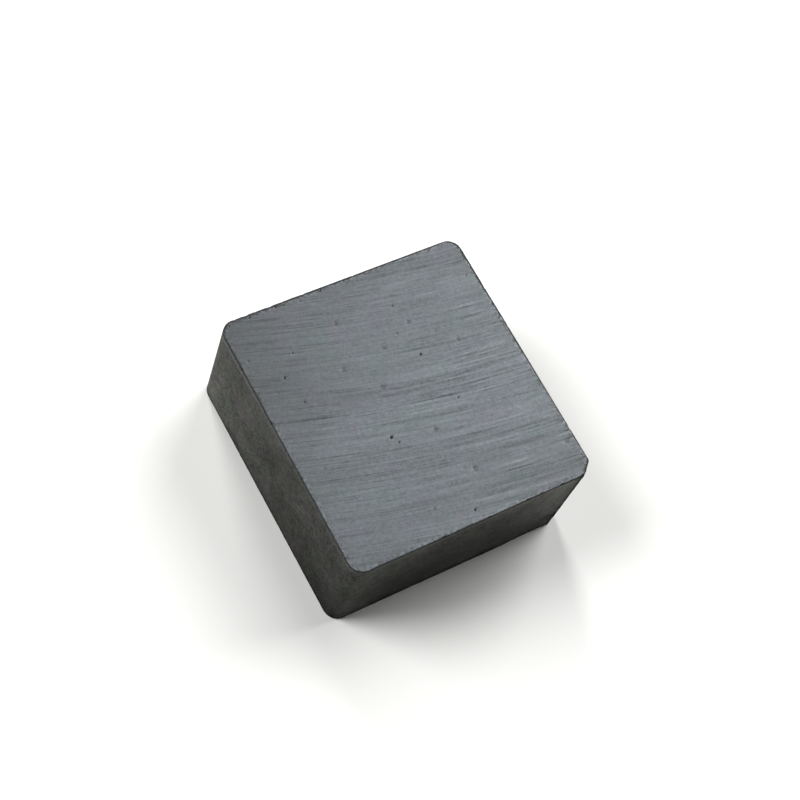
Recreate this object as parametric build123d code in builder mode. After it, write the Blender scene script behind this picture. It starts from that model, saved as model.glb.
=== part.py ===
from build123d import *
from math import sqrt
import os

# Block magnet: one rectangular block of pressed and sintered ferrite.
# Both pole faces are ground flat, the four walls are left as they were fired.
# Millimetres, +Z up, origin at the centre of the lower pole face.

# Block
width = 47.8  # along X
length = 50.0  # along Y
thickness = 22.2  # from pole face to pole face
corner_radius = 2.6  # upright corners, as pressed
worn_flat = 2.1  # leg of the flat that wear has left on the corner at +X, -Y
edge_break = 0.15  # narrow bevel round each pole face

# Pores that grinding has cut open in the upper pole face, by the width of their mouths
large_pore = 0.56
pore = 0.44
small_pore = 0.32
small_pore_depth = 0.1

# Shallow hollows in the upper pole face that grinding has nearly levelled
hollow_width = 1.0
hollow_depth = 0.08

# Chips broken out of the arris round the upper pole face
chip_length = 1.2
chip_depth = 0.24
nick_length = 0.7
nick_depth = 0.2

# Shallow round spall in the wall at -Y, at the foot of the worn corner
spall_width = 10.8
spall_depth = 0.2
spall_inset = 6.4  # its middle, in from the wall at +X
spall_height = 1.0  # its middle, above the lower pole face

# Where the pores and hollows lie: shares of the half width and of the half length, from the centre
large_pore_places = [(-0.257, -0.216)]
pore_places = [
    (-0.745, 0.464),
    (0.264, 0.260),
    (-0.703, 0.248),
    (0.025, -0.912),
    (0.349, -0.136),
]
small_pore_places = [
    (-0.226, -0.270),
    (0.264, 0.672),
    (0.184, 0.468),
    (-0.603, 0.608),
    (0.916, 0.692),
    (-0.929, 0.672),
    (-0.243, -0.792),
    (-0.925, 0.962),
    (-0.757, 0.968),
    (-0.485, 0.970),
]
hollow_places = [
    (0.067, -0.288),
    (-0.121, 0.140),
    (-0.322, 0.364),
    (-0.197, 0.700),
    (0.184, -0.648),
    (0.310, 0.516),
    (0.042, 0.400),
    (0.590, 0.260),
    (0.925, -0.732),
]

# Where the chips and nicks lie: shares of the straight part of each side, from its middle
front_chips = [-0.32, 0.47, 0.80]
front_nicks = [-0.62, 0.10]
left_chips = [0.70, 0.22]
left_nicks = [-0.27, 0.50]
back_chips = [-0.88, -0.66]
back_nicks = [-0.97, -0.78, -0.54, -0.35, 0.12]
right_chips = [-0.72]
right_nicks = [0.62, 0.24]


def scoop(mouth_length, depth):
    """Radius of the ball that cuts a hollow this long and deep, and how far out its centre stands."""
    radius = (mouth_length**2 / 4 + depth**2) / (2 * depth)
    return radius, radius - depth


def face_points(places, height):
    """Points over the upper pole face at this height, for places given as shares of its half sides."""
    return [(across * width / 2, along * length / 2, height) for across, along in places]


def arris_points(sides, stand_off):
    """Centres of the balls that bite the upper arris, for the places listed for each side."""
    out = stand_off / sqrt(2)
    straight_x = width / 2 - corner_radius
    straight_y = length / 2 - corner_radius
    top = thickness + out
    front, left, back, right = sides
    points = [(place * straight_x, -length / 2 - out, top) for place in front]
    points += [(-width / 2 - out, place * straight_y, top) for place in left]
    points += [(place * straight_x, length / 2 + out, top) for place in back]
    points += [(width / 2 + out, place * straight_y, top) for place in right]
    return points


chip_radius, chip_stand_off = scoop(chip_length, chip_depth)
nick_radius, nick_stand_off = scoop(nick_length, nick_depth)
small_pore_radius, small_pore_stand_off = scoop(small_pore, small_pore_depth)
hollow_radius, hollow_stand_off = scoop(hollow_width, hollow_depth)
spall_radius, spall_stand_off = scoop(spall_width, spall_depth)

with BuildPart() as magnet_block:
    # Plan of the block: three rounded corners and one worn flat
    with BuildSketch() as plan:
        Rectangle(width, length)
        towards_worn_corner = Axis((0, 0, 0), (1, -1, 0))
        fillet(plan.vertices().sort_by(towards_worn_corner)[:-1], radius=corner_radius)
        chamfer(plan.vertices().sort_by(towards_worn_corner)[-1], length=worn_flat)
    extrude(amount=thickness)

    # Bevel round both pole faces
    pole_faces = magnet_block.faces().filter_by(Axis.Z)
    chamfer(pole_faces.edges(), length=edge_break)

    # Open pores: half balls sunk in the upper pole face
    for mouth, places in ((large_pore, large_pore_places), (pore, pore_places)):
        with Locations(*face_points(places, thickness)):
            Sphere(mouth / 2, mode=Mode.SUBTRACT)

    # Small pores and shallow hollows: caps of balls that stand off the face
    with Locations(*face_points(small_pore_places, thickness + small_pore_stand_off)):
        Sphere(small_pore_radius, mode=Mode.SUBTRACT)
    with Locations(*face_points(hollow_places, thickness + hollow_stand_off)):
        Sphere(hollow_radius, mode=Mode.SUBTRACT)

    # Chips and nicks in the upper arris
    with Locations(*arris_points((front_chips, left_chips, back_chips, right_chips), chip_stand_off)):
        Sphere(chip_radius, mode=Mode.SUBTRACT)
    with Locations(*arris_points((front_nicks, left_nicks, back_nicks, right_nicks), nick_stand_off)):
        Sphere(nick_radius, mode=Mode.SUBTRACT)

    # Spall that runs out at the foot of the block and at the worn corner
    with Locations((width / 2 - spall_inset, -length / 2 - spall_stand_off, spall_height)):
        Sphere(spall_radius, mode=Mode.SUBTRACT)

magnet_block.part.label = "magnet_block"

os.makedirs("parts", exist_ok=True)
export_step(magnet_block.part, "parts/magnet_block.step")
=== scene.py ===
from math import radians

import bpy
import numpy as np
from mathutils import Matrix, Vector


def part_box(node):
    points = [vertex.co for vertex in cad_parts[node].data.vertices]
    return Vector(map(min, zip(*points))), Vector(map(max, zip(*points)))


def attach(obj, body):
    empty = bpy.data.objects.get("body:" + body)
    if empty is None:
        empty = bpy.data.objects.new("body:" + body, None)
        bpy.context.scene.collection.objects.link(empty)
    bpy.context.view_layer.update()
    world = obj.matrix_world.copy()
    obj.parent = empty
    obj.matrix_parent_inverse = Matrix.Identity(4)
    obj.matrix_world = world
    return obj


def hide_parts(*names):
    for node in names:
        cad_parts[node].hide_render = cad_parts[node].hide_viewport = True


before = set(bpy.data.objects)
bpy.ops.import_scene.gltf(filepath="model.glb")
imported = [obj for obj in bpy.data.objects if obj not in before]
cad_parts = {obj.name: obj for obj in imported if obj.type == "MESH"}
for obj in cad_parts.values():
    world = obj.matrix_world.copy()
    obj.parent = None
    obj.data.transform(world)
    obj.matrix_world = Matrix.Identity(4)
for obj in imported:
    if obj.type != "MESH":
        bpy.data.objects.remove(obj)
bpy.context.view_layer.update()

# Block magnet of sintered ferrite. Both pole faces are ground, the walls are as they were fired.
# Sizes are in millimetres, in the frame of the part, and become metres when a mesh is made.
MM = 0.001

# Block
low_corner, high_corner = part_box("magnet_block")
WIDTH, LENGTH, THICKNESS = ((high_corner - low_corner) / MM)[:]
HALF_X = WIDTH / 2
HALF_Y = LENGTH / 2
CORNER_RADIUS = 2.6
WORN_FLAT = 2.1  # leg of the flat on the corner at +X, -Y
EDGE_BREAK = 0.15

# Mesh
PITCH = 0.23  # grid lines on the pole face
EDGE_STEPS = (0.05, 0.07, 0.10, 0.13, 0.17)  # from the arris inwards
PULL = 0.7  # share by which grid points are drawn towards a pore or hollow
PORE_PULL_REACH = 0.75  # beyond the mouth
HOLLOW_PULL_REACH = 0.5
BREAK_ROWS = 5  # rows round the worn arris
GROUND_BREAK_ROWS = 3  # of them, how many look ground
WALL_ROWS = (0.30, 0.42, 0.58, 0.80, 1.08, 1.40, 1.80)  # below the upper pole face
COARSE_START = 2.25
COARSE_STEP = 0.5
FOOT_ROWS = (0.95, 0.60, 0.35)  # above the lower pole face
FOOT_BREAK_ROWS = 3

# Open pores in the upper pole face: place, width of the mouth, depth, stretch, turn in degrees
OPEN_PORES = [
    (-6.14, -5.4, 0.56, 0.28, 1.15, 0),
    (-5.4, -6.75, 0.36, 0.16, 1.0, 0),
    (-17.81, 11.6, 0.44, 0.22, 1.0, 0),
    (6.31, 6.5, 0.44, 0.22, 1.0, 0),
    (0.6, -22.8, 0.48, 0.22, 1.4, 55),
    (-16.8, 6.2, 0.46, 0.15, 1.0, 0),
    (8.34, -3.4, 0.44, 0.12, 1.1, 20),
    (6.31, 16.8, 0.4, 0.11, 1.0, 0),
    (4.4, 11.7, 0.36, 0.11, 1.0, 0),
    (-14.41, 15.2, 0.36, 0.12, 1.0, 0),
    (21.89, 17.3, 0.36, 0.12, 1.3, 70),
    (-22.2, 16.8, 0.36, 0.13, 1.0, 0),
    (-5.81, -19.8, 0.36, 0.11, 1.0, 0),
    (-22.11, 24.05, 0.44, 0.2, 1.0, 0),
    (-18.09, 24.2, 0.46, 0.22, 1.2, 0),
    (-11.59, 24.25, 0.44, 0.2, 1.1, 0),
    (-13.02, 24.35, 0.46, 0.2, 1.2, 0),
    (-4.22, 24.3, 0.46, 0.22, 1.0, 0),
    (-8.47, 23.75, 0.36, 0.12, 1.2, 0),
]
# Shallow hollows that grinding has nearly levelled: place, width, depth
FAINT_HOLLOWS = [
    (1.6, -7.2, 1.0, 0.08),
    (-2.89, 3.5, 1.05, 0.075),
    (-7.7, 9.1, 1.0, 0.075),
    (-4.71, 17.5, 1.0, 0.065),
    (4.4, -16.2, 1.15, 0.08),
    (7.41, 12.9, 0.95, 0.06),
    (1.0, 10.0, 0.9, 0.06),
    (14.1, 6.5, 0.9, 0.06),
    (22.11, -18.3, 0.95, 0.07),
    (11.1, 9.5, 0.6, 0.045),
    (-20.4, 9.6, 0.5, 0.03),
    (-0.9, -17.0, 0.5, 0.045),
    (2.6, -15.3, 0.5, 0.045),
    (-19.6, -6.0, 0.6, 0.04),
]

# Chips and nicks in the upper arris: length and depth
CHIP = (1.2, 0.24)
NICK = (0.7, 0.2)
# Where the chips and the nicks lie, as shares of the straight part of each side
ARRIS_BITES = {
    "front": ((-0.32, 0.47, 0.80), (-0.62, 0.10)),
    "left": ((0.70, 0.22), (-0.27, 0.50)),
    "back": ((-0.88, -0.66), (-0.97, -0.78, -0.54, -0.35, 0.12)),
    "right": ((-0.72,), (0.62, 0.24)),
}

# Shallow round spall in the wall at -Y, at the foot of the worn corner
SPALL_WIDTH = 10.8
SPALL_DEPTH = 0.2
SPALL_INSET = 6.4
SPALL_HEIGHT = 1.0
SPALL_FULLY_BROKEN = 0.04  # depth at which it looks the most broken
SPALL_BROKEN_SHARE = 0.45

# Small ragged bites in an arris: how many, shortest and longest, and how far in they lie
BITES_ALL_ROUND = (200, (0.25, 0.6), 0.05)
BITES_BACK_LEFT = (34, (0.35, 0.8), 0.25)
BITES_FAR_SIDES = (90, (0.2, 0.45), 0.22)
BITES_AT_FOOT = (110, (0.4, 1.0), 0.05)
CORNER_BITE = (1.3, 0.3)  # length and depth
BITE_TILTS = (0.15, 0.6)  # of small bites, as the share that is level
BITE_DEPTHS = (0.12, 0.3)  # as shares of the length
FULLY_BROKEN = 0.03  # depth at which a bite looks fully broken

# Rub of the upper arris, most of it at the back, and of the lower one
RUB_LEAST = 0.02
RUB_UNEVEN = 0.03
RUB_MOST = 0.20
RUB_SHARES = {"back": 1.0, "right": 0.9, "left": 0.12, "worn corner": 0.6}
RUB_FOOT = 0.1

# Waviness of the walls: length, height, seed. Relief of the grinding marks: width, height
WALL_WAVES = ((6.0, 0.010, 5), (1.6, 0.003, 6))
GRINDING_WAVES = ((2.4, 0.0016), (1.1, 0.0009))
GROUND_MEAN_DEPTH = 0.006  # of the marks, so that their ridges stay within the block
FULL_TURN = 6.3  # radians, for random phases
PORE_LOBES = 0.16  # how far the mouth of a pore wavers, as a share
HOLLOW_LOBES = 0.3

# Grinding marks: arcs round the centre of a wheel that stood beyond the back of the block
WHEEL_X = 40.4
WHEEL_Y = 213.4
WHEEL_RADIUS = 217.0
# Single grooves, in millimetres: distance out from the wheel's mean arc, place along it, spread
# across, spread along, and how much lighter or darker the groove looks
GROOVES = [
    (-4.65, -60.2, 0.5, 4.5, -0.14),
    (1.3, -35.6, 0.3, 10.0, 0.11),
    (3.9, -58.8, 0.5, 2.5, -0.16),
    (21.4, -45.7, 0.3, 4.5, -0.16),
    (4.85, -49.0, 0.5, 2.5, 0.14),
    (1.6, -60.0, 0.5, 2.5, -0.14),
    (-6.2, -46.6, 0.2, 4.5, 0.16),
    (-15.05, -48.5, 0.5, 7.0, 0.08),
    (10.1, -48.5, 0.5, 2.5, 0.13),
    (7.35, -24.8, 0.3, 4.5, 0.12),
    (13.5, -26.1, 0.2, 4.5, -0.17),
    (2.6, -46.7, 0.3, 4.5, 0.12),
    (11.4, -34.4, 0.2, 4.5, 0.16),
    (21.85, -32.1, 0.3, 4.5, 0.12),
    (19.5, -42.2, 0.2, 4.5, -0.15),
    (-3.35, -64.7, 0.3, 10.0, -0.08),
]

# Broad tone of a face, as a power of e. On the walls it is painted light and shade, lighter or darker by how
# the light falls; on the upper pole face it is partly painted sheen and partly the face's own tone. Parts:
# constant, then a, b, a squared, a times b, b squared, where a and b run from -1 to 1 across the face, or
# for b on a wall from 0 at the foot to 1 at the top
UPPER_TONE_AND_SHEEN = (0.015, 0.195, -0.108, -0.186, 0.185, -0.255)
LEFT_PAINTED_SHADING = (-0.18, 0.91, 0.63, -0.045, -0.92, -0.46)
FRONT_PAINTED_SHADING = (-0.309, 0.05, -0.75, 0.73, 0.56, 1.51)
HIDDEN_TONE = -0.3
# Painted shade where the walls meet the floor and on the worn corner's upright edges
PAINTED_SHADE_TONE = -2.0  # at the foot of the walls
FOOT_SHADE_REACH = 0.52
# Painted shade on the two upright edges of the worn corner, where the walls turn away from the light: reach,
# and strength beside that at the foot
FRONT_EDGE_SHADE = (0.62, 2.8)
RIGHT_EDGE_SHADE = (0.3, 0.4)
# Soft lighter and darker patches of each face: place, reach both ways, strength. On a wall the place is
# along it and up it. On the upper pole face they are the face's own tone; on the walls they are partly the
# skin's tone and partly painted light and shade
UPPER_PATCHES = [
    (-20, 11, 7, 4, -0.14),
    (-6, 6, 6, 3, -0.1),
    (-9, 22, 7, 3, 0.13),
    (-10, -1, 8, 4, 0.1),
    (20, -9, 6, 6, 0.15),
    (-20, -17, 4, 4, 0.12),
    (8, -18, 8, 4, -0.1),
    (12, 9, 6, 3, -0.08),
    (18, 1.5, 5, 2.5, -0.12),
    (-21.5, -2, 3, 3, -0.13),
    (-10, -9.5, 4, 3, 0.07),
    (-18, 10, 5, 2.5, -0.07),
    (8, -3, 4, 3, 0.07),
    (22, -13, 3, 3, 0.08),
    (-10, -22, 5, 2, -0.07),
    (6, 18, 3, 2.5, -0.09),
    (-9, 2, 4, 3, 0.07),
]
LEFT_PATCHES = [
    (-9.5, 11, 3.5, 14, 0.17),
    (0, 16, 4.5, 5, -0.26),
    (18, 10, 4, 4, 0.2),
    (12, 21, 8, 2.5, 0.15),
    (-22, 3, 2.5, 3, 0.2),
]
FRONT_PATCHES = [
    # Painted light on the upper end of the wall beside the worn corner, where it turns towards the light,
    # and darker again next to that corner's edge
    (17.5, 11, 3.5, 4.5, 0.58),
    (22, 18, 2.5, 6, -0.55),
    # Painted shade in the notch under the worn corner's arris
    (21.2, 21.7, 0.9, 0.5, -2.2),
    (2, 21, 7, 3, -0.25),
    (11, 6.5, 5, 4, -0.25),
    (1, 2.8, 14, 2, 0.52),
]

# Colours
GROUND_COLOUR = (0.0695, 0.0845, 0.0955, 1)
FIRED_COLOUR = (0.0415, 0.0426, 0.0382, 1)
# Unground fired skin on a pole face, far darker than the walls' skin: partly painted shade, as deep in the
# pores
UNGROUND_SHADED_COLOUR = (0.010, 0.011, 0.012)
# Painted shade in the spall's crease
CREASE_SHADE_COLOUR = (0.004, 0.004, 0.004, 1)
BROKEN_COLOUR = (0.024, 0.025, 0.025)
DUST_COLOUR = (0.105, 0.112, 0.108, 1)
# Tints between which the patches of a face drift
GROUND_TINTS = ((0.93, 1.03, 0.97), (1.07, 0.97, 1.03))
FIRED_TINTS = ((0.94, 1.03, 0.93), (1.07, 0.98, 1.09))

# Grinding marks in the colour: lines per mm, turns per mm along them, detail, seed
MARKS = {
    "hair": (5.0, 0.40, 2.0, 3.0),
    "fine": (2.6, 0.17, 1.5, 11.0),
    "middle": (1.1, 0.07, 1.0, 23.0),
    "broad": (0.36, 0.05, 1.0, 37.0),
}
# Single scratches, painted in the colour as a lit side and a shaded side: lines per mm, turns per mm,
# detail, thinness, seed
PAINTED_SCRATCH = {"Lines per mm": 0.75, "Turns per mm": 0.06, "Detail": 0.0, "Thinness": 0.12, "Seed": 51.0}

# Floor, light and camera
FLOOR_REACH = 4.0  # metres each way
FLOOR_GAP = 0.02  # mm under the block
FLOOR_COLOUR = (0.86, 0.86, 0.84, 1)
SKY = 0.02
# Sun lamps as broad as softboxes: heading from +X to +Y, height and width in degrees, strength
SOFTBOXES = {
    "left softbox": (143.8, 39.7, 34.8, 2.99),
    "right softbox": (16.6, 38.3, 49.0, 3.08),
    "back softbox": (79.0, 32.7, 14.0, 1.49),
}
CAMERA_PLACE = (-0.123413, -0.094508, 0.295566)
CAMERA_HEADING = -52.178
CAMERA_TILT = 29.467
CAMERA_ROLL = 26.107
CAMERA_LENS = 82.916  # mm, for a sensor 36 mm wide


def grid_lines(half):
    """Places of the grid lines across one side of a pole face.

    From both edges inwards the gaps are those of EDGE_STEPS, and between them the lines are even.
    """
    edge = np.concatenate([[0.0], np.cumsum(EDGE_STEPS)])
    middle = half - EDGE_BREAK - edge[-1]
    even = np.linspace(-middle, middle, 2 * round(middle / PITCH) + 1)
    outer = edge[:-1] - (half - EDGE_BREAK)
    return np.concatenate([outer, even, -outer[::-1]])


def fit_to_outline(x, y, inset):
    """Squeezes a rectangular grid into the plan of the block, inset by that much all round.

    In a corner square each point stays on its ray from the square's inner corner. At a rounded
    corner its reach becomes the longer of its two offsets, which turns squares into arcs. At the
    worn corner it is only cut back as far as the flat asks.
    """
    radius = CORNER_RADIUS - inset
    flat = WORN_FLAT - (2 - 2**0.5) * inset
    across = np.maximum(np.abs(x) - (HALF_X - CORNER_RADIUS), 0)
    along = np.maximum(np.abs(y) - (HALF_Y - CORNER_RADIUS), 0)
    in_corner = (across > 0) & (along > 0)
    longer = np.maximum(across, along)
    rounded = longer / np.where(in_corner, np.hypot(across, along), 1)
    worn = np.minimum(1, (2 - flat / radius) * longer / np.where(in_corner, across + along, 1))
    scale = np.where((x > 0) & (y < 0), worn, rounded)
    shift = np.where(in_corner, scale - 1, 0)
    return x + np.sign(x) * across * shift, y + np.sign(y) * along * shift


def depth_in_outline(x, y):
    """Distance of points from the outline of the plan, positive inside.

    It is the rounded rectangle's distance, and at the worn corner the smaller of the distances
    from the two walls and from the flat.
    """
    gap_x = HALF_X - np.abs(x)
    gap_y = HALF_Y - np.abs(y)
    across = CORNER_RADIUS - gap_x
    along = CORNER_RADIUS - gap_y
    outside = np.hypot(np.maximum(across, 0), np.maximum(along, 0))
    rounded = CORNER_RADIUS - outside - np.minimum(np.maximum(across, along), 0)
    from_flat = ((HALF_X - x) + (y + HALF_Y) - WORN_FLAT) / 2**0.5
    worn = np.minimum(np.minimum(gap_x, gap_y), from_flat)
    return np.where((x > 0) & (y < 0), worn, rounded)


def smooth_step(value, start, end):
    """0 before start, 1 after end, and between them three times the square less twice the cube."""
    share = np.clip((value - start) / (end - start), 0, 1)
    return share * share * (3 - 2 * share)


def bell(distance, reach):
    """1 at no distance, falling as e to minus the square of the distance over the reach."""
    return np.exp(-((distance / reach) ** 2))


def draw_together(x, y, places, reach):
    """Draws grid points towards each place, so that a small pore there gets enough of them.

    A point's distance from the place is cut by a share that is a bell of it and fades out towards
    the outline.
    """
    for place_x, place_y, mouth, *_ in places:
        dx = x - place_x
        dy = y - place_y
        hold = smooth_step(depth_in_outline(x, y), 0.3, 1.6)
        pull = PULL * hold * bell(np.hypot(dx, dy), reach + mouth / 2)
        x = x - dx * pull
        y = y - dy * pull
    return x, y


def ball_for(length, depth):
    """Radius of the ball that leaves a hollow this long and deep, and how far out its centre stands."""
    radius = (length**2 / 4 + depth**2) / (2 * depth)
    return radius, radius - depth


def press(points, centre, radius):
    """Moves the points that lie inside a ball straight out from its centre onto the ball."""
    away = points - centre
    distance = np.linalg.norm(away, axis=1)
    inside = distance < radius
    pushed = np.where(inside, radius / np.maximum(distance, 1e-9), 1)
    return centre + away * pushed[:, None], np.where(inside, radius - distance, 0)


def waves(points, length, count, seed):
    """Smooth random field: the sum of plane waves in random directions, about the given length."""
    random = np.random.default_rng(seed)
    direction = random.normal(size=(count, 3))
    direction /= np.linalg.norm(direction, axis=1)[:, None]
    turns = 2 * np.pi / (length * random.uniform(0.6, 1.7, count))
    phase = random.uniform(0, 2 * np.pi, count)
    return np.sin(points @ (direction * turns[:, None]).T + phase).sum(axis=1) / (count / 2) ** 0.5


def wheel_position(x, y):
    """Place on the pole face as the wheel met it: distance from its centre, and length along the arc."""
    radial = np.hypot(x - WHEEL_X, y - WHEEL_Y)
    along = np.arctan2(x - WHEEL_X, WHEEL_Y - y) * WHEEL_RADIUS
    return radial, along


def grinding_relief(x, y, seed):
    """Height of the grinding marks: waves across the arcs, each fading in and out along its arc."""
    random = np.random.default_rng(seed)
    radial, along = wheel_position(x, y)
    height = np.zeros_like(x)
    for width, amount in GRINDING_WAVES:
        for _ in range(7):
            turns = 2 * np.pi / (width * random.uniform(0.8, 1.3))
            drift = 2 * np.pi / random.uniform(30, 90)
            fade = np.sin(along * 2 * np.pi / random.uniform(25, 70) + random.uniform(0, FULL_TURN))
            phase = random.uniform(0, FULL_TURN)
            height += amount * fade * np.sin(radial * turns + along * drift + phase)
    return height


def lobed_share(x, y, place, across, stretch, turn, lobe, random):
    """Distance from a place as a share of its lobed, stretched outline's reach in that direction."""
    dx = x - place[0]
    dy = y - place[1]
    long = (dx * np.cos(turn) + dy * np.sin(turn)) / stretch
    short = (dy * np.cos(turn) - dx * np.sin(turn)) * stretch
    angle = np.arctan2(short, long)
    lobes = 0.55 * np.sin(2 * angle + random.uniform(0, FULL_TURN))
    lobes += 0.45 * np.sin(3 * angle + random.uniform(0, FULL_TURN))
    return np.hypot(long, short) / (across / 2 * (1 + lobe * lobes))


def sink_pores(points, random):
    """Depth of the open pores and faint hollows under each point of the upper pole face.

    A pore is half a ball whose mouth wavers with two and three lobes. A faint hollow is a bell of
    the fourth power of the distance, so its bottom is broad.
    """
    x, y = points[:, 0], points[:, 1]
    depth = np.zeros(len(points))
    for place_x, place_y, mouth, deep, stretch, turn in OPEN_PORES:
        share = lobed_share(x, y, (place_x, place_y), mouth, stretch, radians(turn), PORE_LOBES, random)
        depth = np.maximum(depth, deep * np.sqrt(np.maximum(0, 1 - share**2)))
    for place_x, place_y, across, deep in FAINT_HOLLOWS:
        share = lobed_share(x, y, (place_x, place_y), across, 1.0, 0.0, HOLLOW_LOBES, random)
        depth = np.maximum(depth, deep * np.exp(-1.4 * share**4))
    return depth


def groove_tone(x, y):
    """Sum of the single grooves: each a bell across its arc and a bell along it."""
    radial, along = wheel_position(x, y)
    total = np.zeros_like(x)
    for out, place, across, reach, strength in GROOVES:
        squares = ((radial - WHEEL_RADIUS - out) / across) ** 2 + ((along - place) / reach) ** 2
        total += strength * np.exp(-squares / 2)
    return total


def broad_tone(parts, a, b):
    """Second-degree polynomial of two shares."""
    constant, by_a, by_b, by_aa, by_ab, by_bb = parts
    return constant + by_a * a + by_b * b + by_aa * a * a + by_ab * a * b + by_bb * b * b


def patches_of(patches, a, b):
    """Sum of soft patches, each a bell with its own reach both ways."""
    total = np.zeros_like(a)
    for place_a, place_b, reach_a, reach_b, strength in patches:
        total += strength * bell(a - place_a, reach_a) * bell(b - place_b, reach_b)
    return total


def from_worn_edges(x, y):
    """Distances from the two upright edges of the worn corner: the one at -Y and the one at +X."""
    front = np.hypot(HALF_X - WORN_FLAT - x, y + HALF_Y)
    return front, np.hypot(HALF_X - x, y + HALF_Y - WORN_FLAT)


def painted_shade_over(points, direction):
    """Painted shade on the walls: bells of the height above the foot and of the distances from the worn
    edges.

    On the edge at -Y only what faces -Y is shaded. There and at the foot the painted shade is uneven.
    """
    front, right = from_worn_edges(points[:, 0], points[:, 1])
    front_reach, front_strength = FRONT_EDGE_SHADE
    right_reach, right_strength = RIGHT_EDGE_SHADE
    uneven = 1 + 0.5 * np.clip(waves(points, 1.3, 40, 21), -1.5, 1.5)
    on_front = front_strength * bell(front, front_reach) * np.maximum(-direction[:, 1], 0) ** 5
    on_foot = bell(points[:, 2], FOOT_SHADE_REACH)
    return (on_foot + on_front) * uneven + right_strength * bell(right, right_reach)


def shade_over(points, direction):
    """How light the surface is, about 1: e to the sum of each face's tone times its normal squared, less the
    painted shade at the foot and on the worn edges. Much of it is painted light and shade: most of it on the
    walls, the sheen on the upper pole face.
    """
    x, y, z = points.T
    a, b, up = x / HALF_X, y / HALF_Y, z / THICKNESS
    upper = broad_tone(UPPER_TONE_AND_SHEEN, a, b) + patches_of(UPPER_PATCHES, x, y) + groove_tone(x, y)
    left = broad_tone(LEFT_PAINTED_SHADING, b, up) + patches_of(LEFT_PATCHES, y, z)
    front = broad_tone(FRONT_PAINTED_SHADING, a, up) + patches_of(FRONT_PATCHES, x, z)
    facing = direction**2
    tone = np.where(direction[:, 2] > 0, facing[:, 2] * upper, 0)
    tone += facing[:, 0] * np.where(direction[:, 0] < 0, left, HIDDEN_TONE)
    tone += facing[:, 1] * np.where(direction[:, 1] < 0, front, HIDDEN_TONE)
    return np.exp(tone + PAINTED_SHADE_TONE * painted_shade_over(points, direction) * (1 - facing[:, 2]))


def near_wall(out, half):
    """0 well inside the block and 1 at a wall: a smooth step from 2.5 to 1 mm short of it."""
    return smooth_step(out, half - 2.5, half - 1)


def arris_rub(points):
    """How far the arris is rubbed away: unevenly, little along -Y, more at the back and the right.

    At the back it falls off towards +X, at the right and at -X towards -Y, and the worn corner is
    rubbed too. The lower arris is even.
    """
    x, y, z = points.T
    flat = HALF_X + HALF_Y - WORN_FLAT
    rubbed = {
        "back": near_wall(y, HALF_Y) * np.clip((34 - x) / 54, 0, 1),
        "right": near_wall(x, HALF_X) * np.clip((y + 18) / 40, 0, 1),
        "left": near_wall(-x, HALF_X) * smooth_step(y, 3, 12),
        "worn corner": smooth_step(x - y, flat - 1.5, flat - 0.3),
    }
    most = np.maximum.reduce([rubbed[place] * share for place, share in RUB_SHARES.items()])
    uneven = RUB_LEAST + RUB_UNEVEN * np.clip(waves(points, 3.5, 30, 13), 0, 1.5)
    return np.where(z > THICKNESS / 2, uneven + RUB_MOST * most, RUB_FOOT)


def dust_over(points, direction):
    """Pale dust on two walls, 0 to 1.

    It lies in a band under the arris at -X, thicker towards the back, and thinly under the arris at
    -Y and over the upper end of that wall next to the worn corner, short of that corner's edge.
    """
    x, y, z = points.T
    drop = THICKNESS - z
    band = smooth_step(drop, 0.25, 0.5) * (1 - smooth_step(drop, 0.9, 1.7))
    left = band * (0.25 + 0.75 * smooth_step(y, -6, 16)) * np.maximum(-direction[:, 0], 0) ** 2
    corner = smooth_step(x, 6, 19) * (1 - smooth_step(drop, 6, 19))
    clear = smooth_step(np.minimum(*from_worn_edges(x, y)), 0.2, 0.7) * np.maximum(-direction[:, 1], 0) ** 2
    front = np.maximum(0.4 * band, 0.3 * corner) * clear
    return np.maximum(left, front)


def arris_place(side, share):
    """Point on the upper arris at a share of a side's straight part, and the direction straight out."""
    straight_x = HALF_X - CORNER_RADIUS
    straight_y = HALF_Y - CORNER_RADIUS
    sides = {
        "front": ((share * straight_x, -HALF_Y), (0, -1)),
        "left": ((-HALF_X, share * straight_y), (-1, 0)),
        "back": ((share * straight_x, HALF_Y), (0, 1)),
        "right": ((HALF_X, share * straight_y), (1, 0)),
    }
    (x, y), (out_x, out_y) = sides[side]
    return np.array([x, y, THICKNESS]), np.array([out_x, out_y, 1.0]) / 2**0.5


def bite(points, broken, place, outward, size):
    """Takes a ball-shaped bite of this length and depth out of an arris, and marks what it bared."""
    radius, stand_off = ball_for(*size)
    near = np.linalg.norm(points - place, axis=1) < sum(size)
    moved, pressed = press(points[near], place + outward * stand_off, radius)
    points[near] = moved
    broken[near] = np.maximum(broken[near], np.clip(pressed / FULLY_BROKEN, 0, 1))


def crumble(points, broken, ring, outward, up, bites, random):
    """Takes many small bites out of an arris at random places of its ring, moved in by the inset."""
    count, lengths, inset = bites
    for _ in range(count):
        place = random.integers(len(ring))
        tilt = random.uniform(*BITE_TILTS)
        away = np.array([*(outward[place] * tilt), up * (1 - tilt**2) ** 0.5])
        length = random.uniform(*lengths) * random.uniform(0.5, 1)
        middle = ring[place] - np.array([*(outward[place] * inset), 0])
        bite(points, broken, middle, away, (length, length * random.uniform(*BITE_DEPTHS)))


def border(grid):
    """Values round the border of a grid, anticlockwise from the corner at -X, -Y."""
    return np.concatenate([grid[0, :-1], grid[:-1, -1], grid[-1, :0:-1], grid[:0:-1, 0]])


def at_level(places, level):
    """Points over places of the plan, all at one height."""
    return np.column_stack([places, np.full(len(places), level)])


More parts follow.
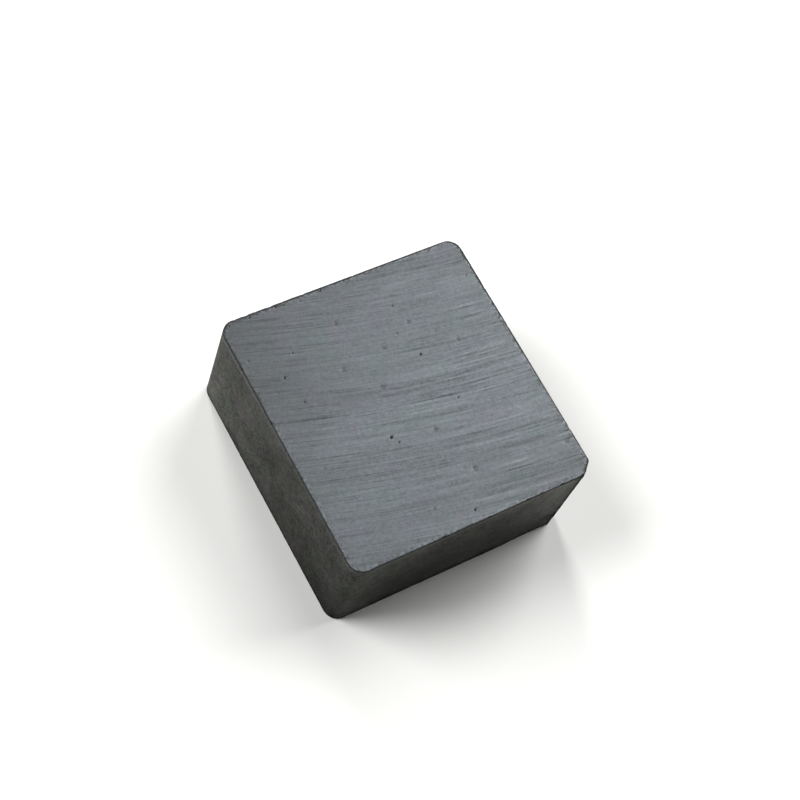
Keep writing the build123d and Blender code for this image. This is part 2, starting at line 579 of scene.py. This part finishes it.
def wall_outline(flat_x, flat_y):
    """Outline of the walls, point for point with the border of the pole face, and which way is out."""
    grow = CORNER_RADIUS / (CORNER_RADIUS - EDGE_BREAK) - 1
    wide_x = np.maximum(np.abs(flat_x) - (HALF_X - CORNER_RADIUS), 0) * grow * np.sign(flat_x) + flat_x
    wide_y = np.maximum(np.abs(flat_y) - (HALF_Y - CORNER_RADIUS), 0) * grow * np.sign(flat_y) + flat_y
    outer_x, outer_y = fit_to_outline(wide_x, wide_y, 0)
    outer = np.column_stack([border(outer_x), border(outer_y)])
    tangent = np.roll(outer, -1, axis=0) - np.roll(outer, 1, axis=0)
    outward = np.column_stack([tangent[:, 1], -tangent[:, 0]])
    return outer, outward / np.linalg.norm(outward, axis=1)[:, None]


def wall_rings(inner, outer):
    """Rings of points between the pole faces, from the top down: the fine ones, and the coarse ones.

    Round an arris a ring lies out by the sine of its angle, and down or up by one less the cosine.
    A coarse ring has every second point of a fine one.
    """

    def arris_ring(share, step):
        """Ring at this share of the quarter turn, and how far from the pole face it lies."""
        angle = radians(90 * share)
        ring = (inner + (outer - inner) * np.sin(angle))[::step]
        return ring, EDGE_BREAK * (1 - np.cos(angle))

    fine = []
    for row in range(1, BREAK_ROWS + 1):
        ring, down = arris_ring(row / BREAK_ROWS, 1)
        fine.append(at_level(ring, THICKNESS - down))
    fine += [at_level(outer, THICKNESS - down) for down in WALL_ROWS]
    start = THICKNESS - COARSE_START
    count = round((start - FOOT_ROWS[0]) / COARSE_STEP) + 1
    levels = [*np.linspace(start, FOOT_ROWS[0], count), *FOOT_ROWS[1:]]
    coarse = [at_level(outer[::2], level) for level in levels]
    for row in range(FOOT_BREAK_ROWS, 0, -1):
        ring, up = arris_ring(row / FOOT_BREAK_ROWS, 2)
        coarse.append(at_level(ring, up))
    return fine, coarse


def bands(rings):
    """Four-sided faces between each ring of point numbers and the next one down."""
    made = []
    for upper, lower in zip(rings[:-1], rings[1:]):
        made.append(np.stack([lower, np.roll(lower, -1), np.roll(upper, -1), upper], axis=1))
    return np.concatenate(made)


def cells(number):
    """Four-sided faces of a grid of point numbers, anticlockwise from above."""
    corners = [number[:-1, :-1], number[:-1, 1:], number[1:, 1:], number[1:, :-1]]
    return np.stack(corners, axis=-1).reshape(-1, 4)


def faces_over(top_shape, fine, coarse, foot_shape):
    """Faces of the whole surface, and which of them are ground.

    The two pole faces come first, then the bands between rings, and last the five-sided faces that
    join the fine rings to the coarse ones.
    """
    counts = [np.prod(top_shape), *map(len, fine + coarse), np.prod(foot_shape)]
    numbers = np.split(np.arange(sum(counts)), np.cumsum(counts)[:-1])
    top = numbers[0].reshape(top_shape)
    foot = numbers[-1].reshape(foot_shape)
    rings = [border(top), *numbers[1 : len(fine) + 1]]
    half_rings = [*numbers[len(fine) + 1 : -1], border(foot)]
    upper = rings[-1]
    lower = half_rings[0]
    joining = np.stack([lower, np.roll(lower, -1), np.roll(upper[::2], -1), upper[1::2], upper[::2]], axis=1)
    pole_faces = np.concatenate([cells(top), cells(foot)[:, ::-1]])
    walls = np.concatenate([bands(rings), bands(half_rings)])
    faces = pole_faces.tolist() + walls.tolist() + joining.tolist()
    ground = np.zeros(len(faces), bool)
    ground[: len(pole_faces) + GROUND_BREAK_ROWS * len(upper)] = True
    return faces, ground


def way_out(top, fine, coarse, foot, outward):
    """Direction out at each point: up on the upper pole face, level on the walls, down on the lower."""
    walls = np.concatenate([np.tile(outward, (len(fine), 1)), np.tile(outward[::2], (len(coarse), 1))])
    up = np.tile([0.0, 0.0, 1.0], (len(top), 1))
    down = np.tile([0.0, 0.0, -1.0], (len(foot), 1))
    return np.concatenate([up, at_level(walls, 0.0), down])


def from_arris(points):
    """Distance of points from the bevel of the nearest arris."""
    x, y, z = points.T
    inside = np.maximum(depth_in_outline(x, y) - EDGE_BREAK, 0)
    drop = np.maximum(THICKNESS - z - EDGE_BREAK, 0)
    rise = np.maximum(z - EDGE_BREAK, 0)
    return np.minimum(np.hypot(inside, drop), np.hypot(inside, rise))


def carve_relief(points, direction, arris, random):
    """Moves walls in by their waviness, and pole faces by their grinding marks, pores and hollows."""
    on_top = direction[:, 2] > 0
    on_foot = direction[:, 2] < 0
    on_wall = direction[:, 2] == 0
    wall = points[on_wall]
    swell = sum(height * (1 + waves(wall, length, 30, seed) / 3) for length, height, seed in WALL_WAVES)
    relief = np.zeros(len(points))
    relief[on_wall] = swell * smooth_step(arris[on_wall], 0.0, 1.2)
    for face, seed in ((on_top, 11), (on_foot, 12)):
        relief[face] = GROUND_MEAN_DEPTH - grinding_relief(points[face, 0], points[face, 1], seed)
    pores = sink_pores(points[on_top], random)
    points -= direction * np.maximum(relief, 0)[:, None]
    points[on_top, 2] -= pores


def press_spall(points):
    """Presses the spall into the wall at -Y, and gives how broken each point looks."""
    radius, stand_off = ball_for(SPALL_WIDTH, SPALL_DEPTH)
    centre = np.array([HALF_X - SPALL_INSET, -HALF_Y - stand_off, SPALL_HEIGHT])
    points[:], pressed = press(points, centre, radius)
    share = np.clip(pressed / SPALL_FULLY_BROKEN, 0, 1)
    return share * SPALL_BROKEN_SHARE * smooth_step(points[:, 0], 13.5, 20)


def bite_upper_arris(points, broken, outer, outward, random):
    """Takes the part's chips and nicks, small ragged bites and the worn corner's tip off the upper arris.

    Small bites go all round, larger ones along the left of the back, and more along back and right.
    """
    for kind, size in enumerate((CHIP, NICK)):
        for side, shares in ARRIS_BITES.items():
            for share in shares[kind]:
                bite(points, broken, *arris_place(side, share), size)
    ring = at_level(outer, THICKNESS)
    at_back = outer[:, 1] > HALF_Y - 1.5
    back_left = at_back & (outer[:, 0] < -4)
    far = at_back | (outer[:, 0] > HALF_X - 1.5)
    crumble(points, broken, ring, outward, 1, BITES_ALL_ROUND, random)
    crumble(points, broken, ring[back_left], outward[back_left], 1, BITES_BACK_LEFT, random)
    crumble(points, broken, ring[far], outward[far], 1, BITES_FAR_SIDES, random)
    corner = np.array([HALF_X - WORN_FLAT - 0.1, -HALF_Y, THICKNESS - 0.4])
    bite(points, broken, corner, np.array([0.5, -1.0, 0.5]) / 1.5**0.5, CORNER_BITE)


def bite_lower_arris(points, broken, outer, outward, random):
    """Takes small ragged bites out of the lower arris."""
    crumble(points, broken, at_level(outer, 0), outward, -1, BITES_AT_FOOT, random)


def rub_arrises(points, arris, rub):
    """Moves points near an arris inwards, by an uneven share of the rub times a bell of the distance."""
    uneven = 0.14 + 0.06 * np.clip(waves(points, 1.1, 40, 9), -1.5, 1.5)
    ragged = bell(arris, 0.12 + rub) * rub * uneven
    share = points[:, :2] / (HALF_X, HALF_Y)
    by_wall = np.where(np.abs(share) > 0.93, np.sign(share), 0)
    inward = np.column_stack([-by_wall, np.where(points[:, 2] > THICKNESS / 2, -1, 1)])
    inward /= np.linalg.norm(inward, axis=1)[:, None]
    points += inward * ragged[:, None]


def wear_block(points, direction, arris, rub, outer, outward):
    """Wears the true block, and gives how far each point is broken.

    Changes go inwards, and what a bite would push out past the block's box is held at that box.
    """
    random = np.random.default_rng(41)
    carve_relief(points, direction, arris, random)
    broken = press_spall(points)
    upper = points[:, 2] > THICKNESS / 2
    for near, take_bites in (
        (upper & (arris < 2.0), bite_upper_arris),
        (~upper & (arris < 1.5), bite_lower_arris),
    ):
        near_points = points[near]
        near_broken = broken[near]
        take_bites(near_points, near_broken, outer, outward, random)
        points[near] = near_points
        broken[near] = near_broken
    rub_arrises(points, arris, rub)
    np.clip(points, (-HALF_X, -HALF_Y, 0), (HALF_X, HALF_Y, THICKNESS), out=points)
    return broken


def block_surface():
    """The closed surface of the block: points, faces, which faces are ground, and point values.

    Rings of points go from the grid of the upper pole face down the walls, with half as many
    columns below the fine rows, to a coarser grid on the lower pole face.
    """
    flat_x, flat_y = np.meshgrid(grid_lines(HALF_X), grid_lines(HALF_Y))
    inner_x, inner_y = fit_to_outline(flat_x, flat_y, EDGE_BREAK)
    face_x, face_y = draw_together(inner_x, inner_y, OPEN_PORES, PORE_PULL_REACH)
    face_x, face_y = draw_together(face_x, face_y, FAINT_HOLLOWS, HOLLOW_PULL_REACH)
    foot_x = inner_x[::2, ::2]
    foot_y = inner_y[::2, ::2]
    outer, outward = wall_outline(flat_x, flat_y)
    fine, coarse = wall_rings(np.column_stack([border(inner_x), border(inner_y)]), outer)
    top = at_level(np.column_stack([face_x.ravel(), face_y.ravel()]), THICKNESS)
    foot = at_level(np.column_stack([foot_x.ravel(), foot_y.ravel()]), 0)
    points = np.concatenate([top, *fine, *coarse, foot])
    faces, ground = faces_over(face_x.shape, fine, coarse, foot_x.shape)

    # Values of the unworn block first, then its wear and what follows from that
    direction = way_out(top, fine, coarse, foot, outward)
    spall_middle = np.array([HALF_X - SPALL_INSET, -HALF_Y, SPALL_HEIGHT])
    values = {
        "arris": from_arris(points),
        "shade": shade_over(points, direction),
        "dust": dust_over(points, direction),
        "rub": arris_rub(points),
        "rim": np.linalg.norm(points - spall_middle, axis=1) - SPALL_WIDTH / 2,
    }
    values["broken"] = wear_block(points, direction, values["arris"], values["rub"], outer, outward)
    values["sunk"] = np.minimum(THICKNESS - points[:, 2], points[:, 2])
    return points, faces, ground, values


def piece_from(name, points, faces, materials, slots, values):
    """Makes a smooth-shaded object at the origin from points in millimetres."""
    mesh = bpy.data.meshes.new(name)
    mesh.from_pydata((points * MM).tolist(), [], faces)
    for material in materials:
        mesh.materials.append(material)
    mesh.polygons.foreach_set("material_index", slots.astype(np.int32))
    mesh.polygons.foreach_set("use_smooth", np.ones(len(faces), bool))
    for label, value in values.items():
        layer = mesh.attributes.new(label, "FLOAT", "POINT")
        layer.data.foreach_set("value", value.astype(np.float32))
    mesh.validate()
    mesh.update()
    piece = bpy.data.objects.new(name, mesh)
    bpy.context.scene.collection.objects.link(piece)
    return piece


def feed(tree, node, inputs):
    """Links or sets inputs of a node."""
    for socket, value in inputs.items():
        if isinstance(value, bpy.types.NodeSocket):
            tree.links.new(value, node.inputs[socket])
        else:
            node.inputs[socket].default_value = value


def add(tree, kind, inputs, **settings):
    """Adds a node with its settings and inputs."""
    made = tree.nodes.new(kind)
    for name, value in settings.items():
        setattr(made, name, value)
    feed(tree, made, inputs)
    return made


def maths(tree, operation, *values):
    """Adds a Math node."""
    return add(tree, "ShaderNodeMath", dict(enumerate(values)), operation=operation).outputs[0]


def times(tree, value, factor):
    """Adds a Math node that multiplies."""
    return maths(tree, "MULTIPLY", value, factor)


def larger(tree, first, second):
    """Adds a Math node that gives the larger value."""
    return maths(tree, "MAXIMUM", first, second)


def vector_math(tree, operation, inputs):
    """Adds a Vector Math node and gives its outputs."""
    return add(tree, "ShaderNodeVectorMath", inputs, operation=operation).outputs


def spread(tree, value, start, end, to_start=0.0, to_end=1.0):
    """Adds a smooth Map Range node from start..end to to_start..to_end."""
    inputs = {"Value": value, "From Min": start, "From Max": end, "To Min": to_start, "To Max": to_end}
    return add(tree, "ShaderNodeMapRange", inputs, interpolation_type="SMOOTHSTEP").outputs["Result"]


def blend_colours(tree, share, first, second, way="MIX"):
    """Adds a colour Mix node. Its colours are inputs 6 and 7, and its output is 2."""
    inputs = {"Factor": share, 6: first, 7: second}
    return add(tree, "ShaderNodeMix", inputs, data_type="RGBA", blend_type=way).outputs[2]


def weigh(tree, start, parts):
    """Adds Math nodes that sum a start value and each part times its weight."""
    total = start
    for value, weight in parts:
        total = maths(tree, "MULTIPLY_ADD", value, weight, total)
    return total


def dim(tree, colour, factor):
    """Scales a colour."""
    return vector_math(tree, "SCALE", {0: colour, "Scale": factor})["Vector"]


def noise(tree, vector, scale, detail=2.0, roughness=0.5):
    """Adds a Noise Texture node and gives its value less a half, so that it is about 0."""
    inputs = {"Vector": vector, "Scale": scale, "Detail": detail, "Roughness": roughness}
    value = add(tree, "ShaderNodeTexNoise", inputs).outputs["Fac"]
    return maths(tree, "SUBTRACT", value, 0.5)


def shifted(tree, vector, shift, factors=(1, 1, 1)):
    """Adds a Mapping node that shifts a pattern, and may stretch it."""
    inputs = {"Vector": vector, "Scale": factors, "Location": shift}
    return add(tree, "ShaderNodeMapping", inputs).outputs["Vector"]


def stored(tree, label):
    """Adds an Attribute node for a value kept on the points of the mesh."""
    return add(tree, "ShaderNodeAttribute", {}, attribute_name=label).outputs["Fac"]


def new_group(name, *inputs):
    """Starts a shader node group with these inputs: the place is a vector, and the rest are values."""
    group = bpy.data.node_groups.new(name, "ShaderNodeTree")
    for label in inputs:
        kind = "NodeSocketVector" if label == "Place" else "NodeSocketFloat"
        group.interface.new_socket(label, in_out="INPUT", socket_type=kind)
    return group, group.nodes.new("NodeGroupInput").outputs


def finish_group(group, outputs):
    """Ends a node group with these outputs, which are all values, and gives it back."""
    for label in outputs:
        group.interface.new_socket(label, in_out="OUTPUT", socket_type="NodeSocketFloat")
    add(group, "NodeGroupOutput", outputs)
    return group


def use_group(tree, group, inputs):
    """Places a node group in a material with its own values, and gives its outputs."""
    return add(tree, "ShaderNodeGroup", inputs, node_tree=group).outputs


def make_wheel_place_group():
    """Place on a pole face as the wheel met it, in mm: out from its centre, along the arc, and height."""
    group, given = new_group("wheel place", "Place")
    centre = (WHEEL_X * MM, WHEEL_Y * MM, 0)
    offset = vector_math(group, "SUBTRACT", {0: given["Place"], 1: centre})
    split = add(group, "ShaderNodeSeparateXYZ", {0: offset["Vector"]}).outputs
    flat = add(group, "ShaderNodeCombineXYZ", {"X": split["X"], "Y": split["Y"]}).outputs["Vector"]
    turn = maths(group, "ARCTAN2", split["X"], times(group, split["Y"], -1.0))
    out = times(group, vector_math(group, "LENGTH", {0: flat})["Value"], 1 / MM)
    level = times(group, split["Z"], 1 / MM)
    return finish_group(group, {"Out": out, "Along": times(group, turn, WHEEL_RADIUS), "Level": level})


def make_wheel_marks_group():
    """Grinding marks on a pole face, about 0: noise drawn out along the arcs that comes and goes.

    The thin output is 0 but beside the noise's zero lines, where it swings from dark to light: painted shade
    and painted highlight on the two sides of a single scratch. With t = noise over width, it is 2.6 times t
    less t cubed.
    """
    values = ("Out", "Along", "Level", "Lines per mm", "Turns per mm", "Detail", "Thinness", "Seed")
    group, given = new_group("wheel marks", *values)
    lines = times(group, given["Out"], given["Lines per mm"])
    turns = times(group, given["Along"], given["Turns per mm"])
    depth = weigh(group, given["Seed"], [(given["Level"], 0.35)])
    slow = times(group, turns, 0.25)
    vector = add(group, "ShaderNodeCombineXYZ", {"X": lines, "Y": slow, "Z": depth}).outputs["Vector"]
    line = noise(group, vector, 1.0, given["Detail"], 0.6)
    few = times(group, lines, 0.3)
    vector = add(group, "ShaderNodeCombineXYZ", {"X": few, "Y": turns, "Z": depth}).outputs["Vector"]
    gate = noise(group, shifted(group, vector, (0, 0, 7)), 1.0, 1)
    come_and_go = spread(group, gate, -0.18, 0.18, 0.15, 1.8)
    share = maths(group, "DIVIDE", line, given["Thinness"])
    share = larger(group, maths(group, "MINIMUM", share, 1.0), -1.0)
    cube = maths(group, "POWER", share, 3.0)
    swing = times(group, maths(group, "SUBTRACT", share, cube), 2.6)
    thin = times(group, swing, spread(group, gate, -0.06, 0.08))
    return finish_group(group, {"Mark": times(group, line, come_and_go), "Lit and shaded sides": thin})


def make_fired_skin_group():
    """Skin of pressed and fired ferrite: tone about 1 with broad patches, grain and small dark pits."""
    group, given = new_group("fired skin", "Place", "Patchiness", "Grain")
    place = given["Place"]
    cloud = noise(group, place, 150)
    mottle = noise(group, shifted(group, place, (0.3, 0.1, 0.2), (1, 1, 0.7)), 420, 3, 0.6)
    grain = noise(group, place, 3400, 3, 0.65)
    speck = noise(group, shifted(group, place, (0.4, 0.7, 0.1)), 1150, 3, 0.7)
    cell = add(group, "ShaderNodeTexVoronoi", {"Vector": place, "Scale": 1000}).outputs
    lot = add(group, "ShaderNodeSeparateColor", {"Color": cell["Color"]}).outputs["Red"]
    pit = spread(group, cell["Distance"], 0.08, 0.24, 1.0, 0.0)
    pit = times(group, pit, spread(group, lot, 0.6, 0.9))
    broad = weigh(group, 0.0, [(cloud, 1.0), (mottle, 0.8)])
    broad = times(group, broad, given["Patchiness"])
    fine = times(group, weigh(group, grain, [(speck, 0.75)]), given["Grain"])
    tone = weigh(group, 1.0, [(broad, 1.0), (fine, 1.0), (pit, -0.35)])
    rough = weigh(group, 0.82, [(mottle, 0.3)])
    height = weigh(group, 0.0, [(mottle, 0.000020), (grain, 0.000014), (pit, -0.000015)])
    return finish_group(group, {"Tone": larger(group, tone, 0.1), "Roughness": rough, "Height": height})


def make_rim_wear_group():
    """How strongly an arris is rubbed or crumbled: strong at the arris, ragged inwards."""
    group, given = new_group("rim wear", "Place", "Arris", "Reach", "Grain per m")
    patch = noise(group, given["Place"], given["Grain per m"], 3, 0.6)
    ragged = times(group, spread(group, patch, -0.25, 0.2, 0.35, 1.3), given["Reach"])
    left = maths(group, "DIVIDE", maths(group, "SUBTRACT", ragged, given["Arris"]), ragged)
    return finish_group(group, {"Wear": spread(group, left, 0.0, 0.5)})


def new_material(name, ior):
    """Starts a material with a Principled shader, and gives its tree, shader and object place."""
    material = bpy.data.materials.new(name)
    material.use_nodes = True
    tree = material.node_tree
    tree.nodes.clear()
    shader = add(tree, "ShaderNodeBsdfPrincipled", {"IOR": ior})
    add(tree, "ShaderNodeOutputMaterial", {"Surface": shader.outputs[0]})
    return material, tree, shader, add(tree, "ShaderNodeTexCoord", {}).outputs["Object"]


def raise_by(tree, height):
    """Adds a Bump node for a height in metres."""
    inputs = {"Strength": 1.0, "Distance": 1.0, "Height": height}
    return add(tree, "ShaderNodeBump", inputs).outputs["Normal"]


def tinted(tree, colour, value, tints):
    """Multiplies a colour by a Color Ramp from one tint through white to the other, for a value about 0."""
    ramp = add(tree, "ShaderNodeValToRGB", {"Fac": maths(tree, "ADD", value, 0.5)})
    for end, place, tint in zip(ramp.color_ramp.elements, (0.3, 0.7), tints):
        end.position = place
        end.color = (*tint, 1)
    ramp.color_ramp.elements.new(0.5).color = (1, 1, 1, 1)
    return blend_colours(tree, 1.0, colour, ramp.outputs["Color"], "MULTIPLY")


def worn_rim(tree, place, rim_wear, reach, grain):
    """How far the arris is worn, for a reach in times its rub and a grain in turns per metre."""
    reach = times(tree, stored(tree, "rub"), reach)
    values = {"Place": place, "Arris": stored(tree, "arris"), "Reach": reach, "Grain per m": grain}
    return use_group(tree, rim_wear, values)["Wear"]


def place_marks(tree, place, wheel_place, wheel_marks):
    """Grinding marks of each width in MARKS, and the single scratches with painted lit and shaded sides,
    about 0 all over.
    """
    on_wheel = use_group(tree, wheel_place, {"Place": place})
    where = {label: on_wheel[label] for label in ("Out", "Along", "Level")}
    marks = {}
    for label, (lines, turns, detail, seed) in MARKS.items():
        values = {"Lines per mm": lines, "Turns per mm": turns, "Detail": detail, "Seed": seed}
        marks[label] = use_group(tree, wheel_marks, where | values)["Mark"]
    marks["scratch"] = use_group(tree, wheel_marks, where | PAINTED_SCRATCH)["Lit and shaded sides"]
    return marks


def where_unground(tree, place, rim_wear):
    """Share of a pole face's surface that is unground: in pores and hollows, at chips and at the arris."""
    sunk = stored(tree, "sunk")
    smudge = spread(tree, sunk, 0.02, 0.06, 0.0, 0.42)
    hollow = larger(tree, smudge, spread(tree, sunk, 0.07, 0.11))
    chipped = spread(tree, stored(tree, "broken"), 0.1, 0.9)
    return larger(tree, larger(tree, hollow, chipped), worn_rim(tree, place, rim_wear, 2.4, 2400))


def make_ground_ferrite(wheel_place, wheel_marks, fired_skin, rim_wear):
    """Pole face: blue-grey, with arc-shaped grinding marks whose single scratches have painted lit and
    shaded sides, and dark where the wheel didn't reach.
    """
    material, tree, shader, place = new_material("ground ferrite", 1.6)
    marks = place_marks(tree, place, wheel_place, wheel_marks)
    speckle = noise(tree, place, 4300, 2, 0.6)
    mottle = noise(tree, place, 1500, 3, 0.6)
    patch = noise(tree, place, 110)
    drift = noise(tree, shifted(tree, place, (0.5, 0.2, 0.1)), 170)

    # Tone, about 1 all over, with the single scratches' painted highlight and shade, and the stored shade,
    # which is partly painted sheen
    streaks = weigh(tree, 0.0, [(marks["hair"], 0.88), (marks["fine"], 0.8), (marks["middle"], 0.22)])
    streaks = times(tree, streaks, spread(tree, patch, -0.2, 0.2, 0.6, 1.35))
    # Painted highlight and painted shade on the two sides of single scratches
    streaks = weigh(tree, streaks, [(marks["scratch"], 0.12)])
    near = spread(tree, stored(tree, "arris"), 0.1, 1.0, 1.0, 0.0)
    near = times(tree, near, spread(tree, stored(tree, "rub"), 0.02, 0.2, 0.5, 1.5))
    crumbs = times(tree, weigh(tree, mottle, [(speckle, 1.0)]), near)
    grain = [(speckle, 1.1), (mottle, 1.0), (patch, 0.12), (crumbs, 5.0)]
    tone = weigh(tree, 1.0, [(streaks, 1.0), (marks["broad"], 0.55), *grain])
    tone = times(tree, tone, stored(tree, "shade"))
    colour = dim(tree, tinted(tree, GROUND_COLOUR, drift, GROUND_TINTS), tone)

    # Where the wheel didn't reach, the fired skin shows, darkened further with painted shade
    skin = use_group(tree, fired_skin, {"Place": place, "Patchiness": 0.6, "Grain": 1.6})
    unground = where_unground(tree, place, rim_wear)
    colour = blend_colours(tree, unground, colour, dim(tree, UNGROUND_SHADED_COLOUR, skin["Tone"]))
    inputs = {"Factor": unground, "A": weigh(tree, 0.5, [(streaks, -0.5)]), "B": 0.85}
    rough = add(tree, "ShaderNodeMix", inputs).outputs["Result"]

    # Relief of the marks, in metres
    skin_height = times(tree, skin["Height"], unground)
    parts = [(marks["fine"], 0.000005), (marks["hair"], 0.0000022), (mottle, 0.000004), (skin_height, 1.0)]
    normal = raise_by(tree, weigh(tree, 0.0, parts))
    feed(tree, shader, {"Base Color": colour, "Roughness": rough, "Normal": normal})
    return material


def spall_crease_shade(tree, place):
    """Painted shade line along the crease at the edge of the spall: near the corner and above the foot."""
    off_rim = maths(tree, "ABSOLUTE", stored(tree, "rim"))
    axes = add(tree, "ShaderNodeSeparateXYZ", {0: place}).outputs
    near_corner = spread(tree, axes["X"], 16.5 * MM, 18.5 * MM)
    above_foot = spread(tree, axes["Z"], 2.0 * MM, 3.5 * MM)
    line = times(tree, spread(tree, off_rim, 0.10, 0.36, 0.85, 0.0), near_corner)
    return times(tree, line, above_foot)


def make_fired_ferrite(fired_skin, rim_wear):
    """Walls: dark olive-grey fired skin, matt and faintly patchy, dusty and crumbled along the arrises, with
    painted light and shade from the stored shade and a painted shade line at the spall's crease.
    """
    material, tree, shader, place = new_material("fired ferrite", 1.5)
    skin = use_group(tree, fired_skin, {"Place": place, "Patchiness": 1.25, "Grain": 2.5})
    # The stored shade paints light and shade onto the walls: lighter and darker stretches, and painted shade
    # at the foot and on the worn corner's edges
    tone = times(tree, skin["Tone"], stored(tree, "shade"))
    drift = noise(tree, shifted(tree, place, (0.2, 0.6, 0.4)), 210)
    colour = dim(tree, tinted(tree, FIRED_COLOUR, drift, FIRED_TINTS), tone)
    crumbs = noise(tree, place, 2100, 4, 0.65)
    loose = spread(tree, crumbs, -0.12, 0.14, 0.25, 1.0)
    dust = times(tree, stored(tree, "dust"), loose)
    colour = blend_colours(tree, dust, colour, DUST_COLOUR)

    # Broken places and the rubbed arris are darker and coarser, and a painted shade line marks the spall's
    # crease
    chipped = spread(tree, stored(tree, "broken"), 0.05, 0.9)
    bared = larger(tree, chipped, worn_rim(tree, place, rim_wear, 1.0, 2600))
    fresh = dim(tree, BROKEN_COLOUR, spread(tree, crumbs, -0.15, 0.2, 0.3, 2.2))
    colour = blend_colours(tree, bared, colour, fresh)
    line = spall_crease_shade(tree, place)
    colour = blend_colours(tree, line, colour, CREASE_SHADE_COLOUR)

    # Painted shade and the spall's painted shade line take the gloss away
    gloss_out_of_shade = times(tree, spread(tree, stored(tree, "shade"), 0.05, 0.5), 0.1)
    gloss = times(tree, gloss_out_of_shade, maths(tree, "SUBTRACT", 1.0, line))
    coarse = times(tree, crumbs, weigh(tree, 0.0, [(bared, 0.00005), (dust, 0.00004)]))
    normal = raise_by(tree, weigh(tree, skin["Height"], [(coarse, 1.0), (line, -0.00004)]))
    inputs = {"Base Color": colour, "Roughness": skin["Roughness"], "Specular IOR Level": gloss}
    feed(tree, shader, inputs | {"Normal": normal})
    return material


def make_floor():
    """Plain pale floor just under the block."""
    corners = np.array([(-1, -1), (1, -1), (1, 1), (-1, 1)]) * FLOOR_REACH / MM
    material, tree, shader, _ = new_material("pale floor", 1.45)
    feed(tree, shader, {"Base Color": FLOOR_COLOUR, "Roughness": 1.0, "Specular IOR Level": 0.0})
    return piece_from("floor", at_level(corners, -FLOOR_GAP), [[0, 1, 2, 3]], [material], np.zeros(1), {})


def make_light():
    """Faint sky, white where the camera sees it, and three sun lamps as broad as softboxes."""
    world = bpy.data.worlds.new("studio")
    bpy.context.scene.world = world
    world.use_nodes = True
    tree = world.node_tree
    seen = add(tree, "ShaderNodeLightPath", {}).outputs["Is Camera Ray"]
    glow = maths(tree, "MULTIPLY_ADD", seen, 1 - SKY, SKY)
    feed(tree, tree.nodes["Background"], {"Color": (1, 1, 1, 1), "Strength": glow})
    for name, (heading, height, across, strength) in SOFTBOXES.items():
        light = bpy.data.lights.new(name, "SUN")
        light.energy = strength
        light.angle = radians(across)
        lamp = bpy.data.objects.new(name, light)
        tilt = Matrix.Rotation(radians(90 - height), 4, "Y")
        lamp.matrix_world = Matrix.Rotation(radians(heading), 4, "Z") @ tilt
        bpy.context.scene.collection.objects.link(lamp)


def make_camera():
    """Camera where the photograph was taken from."""
    data = bpy.data.cameras.new("camera")
    data.lens = CAMERA_LENS
    data.clip_start = 0.01
    camera = bpy.data.objects.new("camera", data)
    turn = Matrix.Rotation(radians(CAMERA_HEADING), 4, "Z") @ Matrix.Rotation(radians(CAMERA_TILT), 4, "X")
    turn = turn @ Matrix.Rotation(radians(CAMERA_ROLL), 4, "Z")
    camera.matrix_world = Matrix.Translation(CAMERA_PLACE) @ turn
    bpy.context.scene.collection.objects.link(camera)
    bpy.context.scene.camera = camera


make_camera()
make_light()
make_floor()

wheel_place = make_wheel_place_group()
wheel_marks = make_wheel_marks_group()
fired_skin = make_fired_skin_group()
rim_wear = make_rim_wear_group()
ground_ferrite = make_ground_ferrite(wheel_place, wheel_marks, fired_skin, rim_wear)
fired_ferrite = make_fired_ferrite(fired_skin, rim_wear)

points, faces, ground, values = block_surface()
block = piece_from("ferrite_block", points, faces, [ground_ferrite, fired_ferrite], ~ground, values)
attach(block, "root")
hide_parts("magnet_block")

bpy.context.scene.view_settings.view_transform = "Standard"
